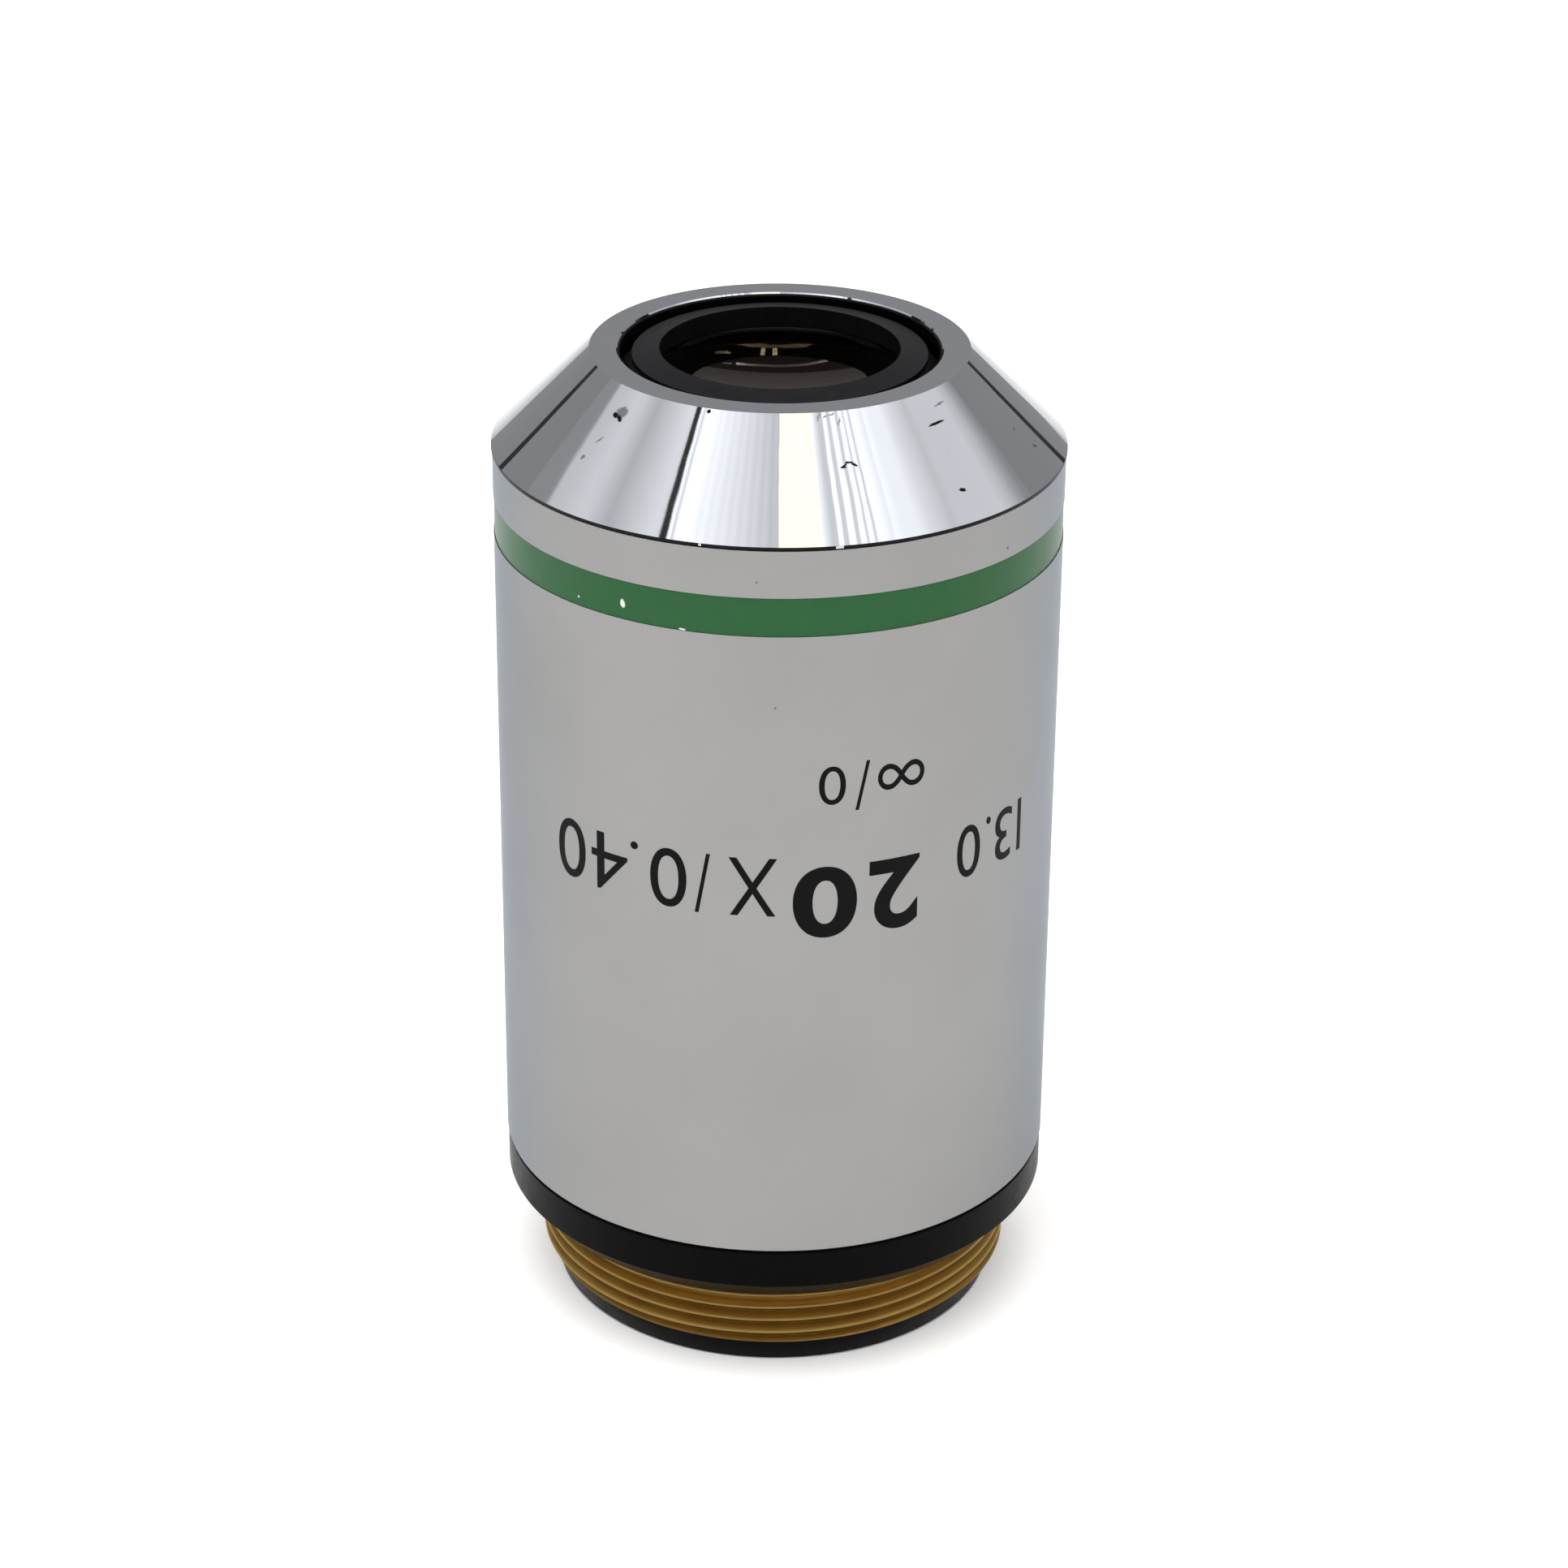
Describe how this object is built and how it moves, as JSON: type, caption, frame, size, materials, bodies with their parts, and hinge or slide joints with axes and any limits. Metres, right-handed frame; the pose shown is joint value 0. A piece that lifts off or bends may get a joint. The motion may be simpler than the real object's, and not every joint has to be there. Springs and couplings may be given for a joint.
{
  "type": "microscope objective",
  "caption": "Long working distance microscope objective: chromed barrel with polished nose cone, colour ring, brass mounting thread and a stack of lenses in cells.",
  "frame": {"origin": "centre of the mounting shoulder, where the black ring seats on the nosepiece, on the optical axis", "axes": "+Z along the optical axis towards the front lens and the specimen; -Z is the way into the nosepiece; X and Y are any two directions across, with the printed side facing -Y"},
  "size_m": [0.0288, 0.0288, 0.052],
  "materials": {
    "black_body": "matte",
    "satin_chrome": "satin",
    "polished_chrome": "polished",
    "green_enamel": "gloss",
    "black_anodised": "matte",
    "dark_steel": "satin",
    "optical_glass": "polished"
  },
  "bodies": {
    "root": {"barrel_body": "black_body", "outer_sleeve": "satin_chrome", "colour_band": "green_enamel", "nose_cone": "polished_chrome", "centring_screws": "dark_steel", "lens_tube": "black_anodised", "locking_ring": "black_anodised", "retaining_ring": "black_anodised", "front_cell": "black_anodised", "second_cell": "black_anodised", "third_cell": "black_anodised", "fourth_cell": "black_anodised", "fifth_cell": "black_anodised", "rear_cell": "black_anodised", "spacer_ring": "black_anodised", "stop_spacer": "black_anodised", "aperture_stop": "black_anodised", "front_lens": "optical_glass", "second_lens": "optical_glass", "third_crown_lens": "optical_glass", "third_flint_lens": "optical_glass", "fourth_flint_lens": "optical_glass", "fourth_crown_lens": "optical_glass", "fifth_crown_lens": "optical_glass", "fifth_flint_lens": "optical_glass", "rear_flint_lens": "optical_glass", "rear_crown_lens": "optical_glass"}
  },
  "joints": []
}
